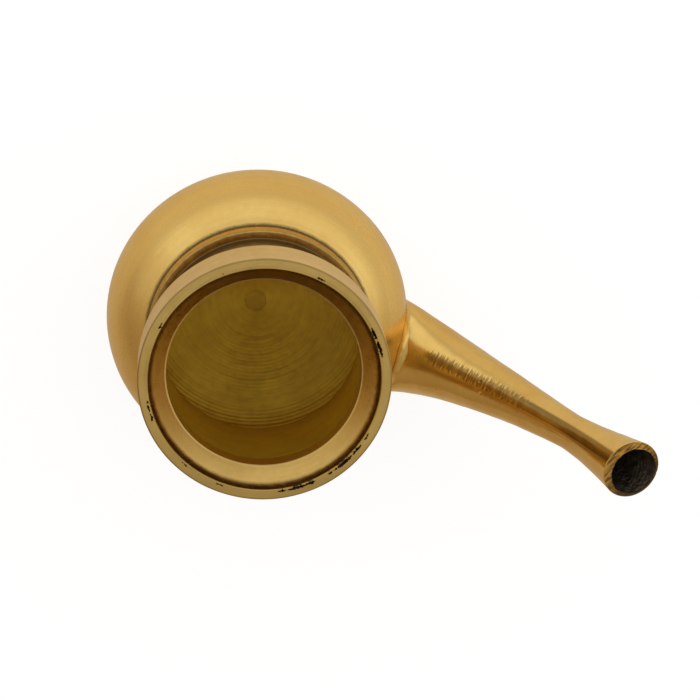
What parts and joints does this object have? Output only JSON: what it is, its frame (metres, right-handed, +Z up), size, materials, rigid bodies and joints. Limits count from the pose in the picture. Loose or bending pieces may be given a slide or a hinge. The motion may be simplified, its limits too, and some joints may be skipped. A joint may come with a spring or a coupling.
{
  "type": "spouted lota water pot",
  "caption": "Squat turned brass water pot with a waisted neck, a flat-lipped cylindrical rim, an inner throat and a long tapering spout that rises from the belly to a flared tip.",
  "frame": {"origin": "centre of the flat resting face under the base", "axes": "+Z up along the pot's axis, out of the mouth; +X horizontally towards the spout"},
  "size_m": [0.1783, 0.1, 0.0895],
  "materials": {
    "turned_brass": "satin, fine turning marks, lightly tarnished inside",
    "rim_brass": "satin, filed lip face with casting pits",
    "throat_brass": "darker tarnished funnel and throat",
    "dull_brass": "dull brass plug",
    "cast_brass": "smooth polished casting with file chatter along the seam",
    "braze": "paler braze, filed smooth",
    "dark_joint": "dark, oxidised braze line"
  },
  "bodies": {
    "root": {"lower_bowl": "turned_brass", "floor_plug": "dull_brass", "upper_bowl": "turned_brass", "belly_braze": "braze", "neck": "turned_brass", "neck_braze": "dark_joint", "rim_band": "rim_brass", "rim_sleeve": "throat_brass", "rim_braze": "braze", "spout_left": "cast_brass", "spout_right": "cast_brass", "spout_seam_top": "dark_joint", "spout_seam_bottom": "dark_joint", "spout_root_braze": "braze"}
  },
  "joints": []
}
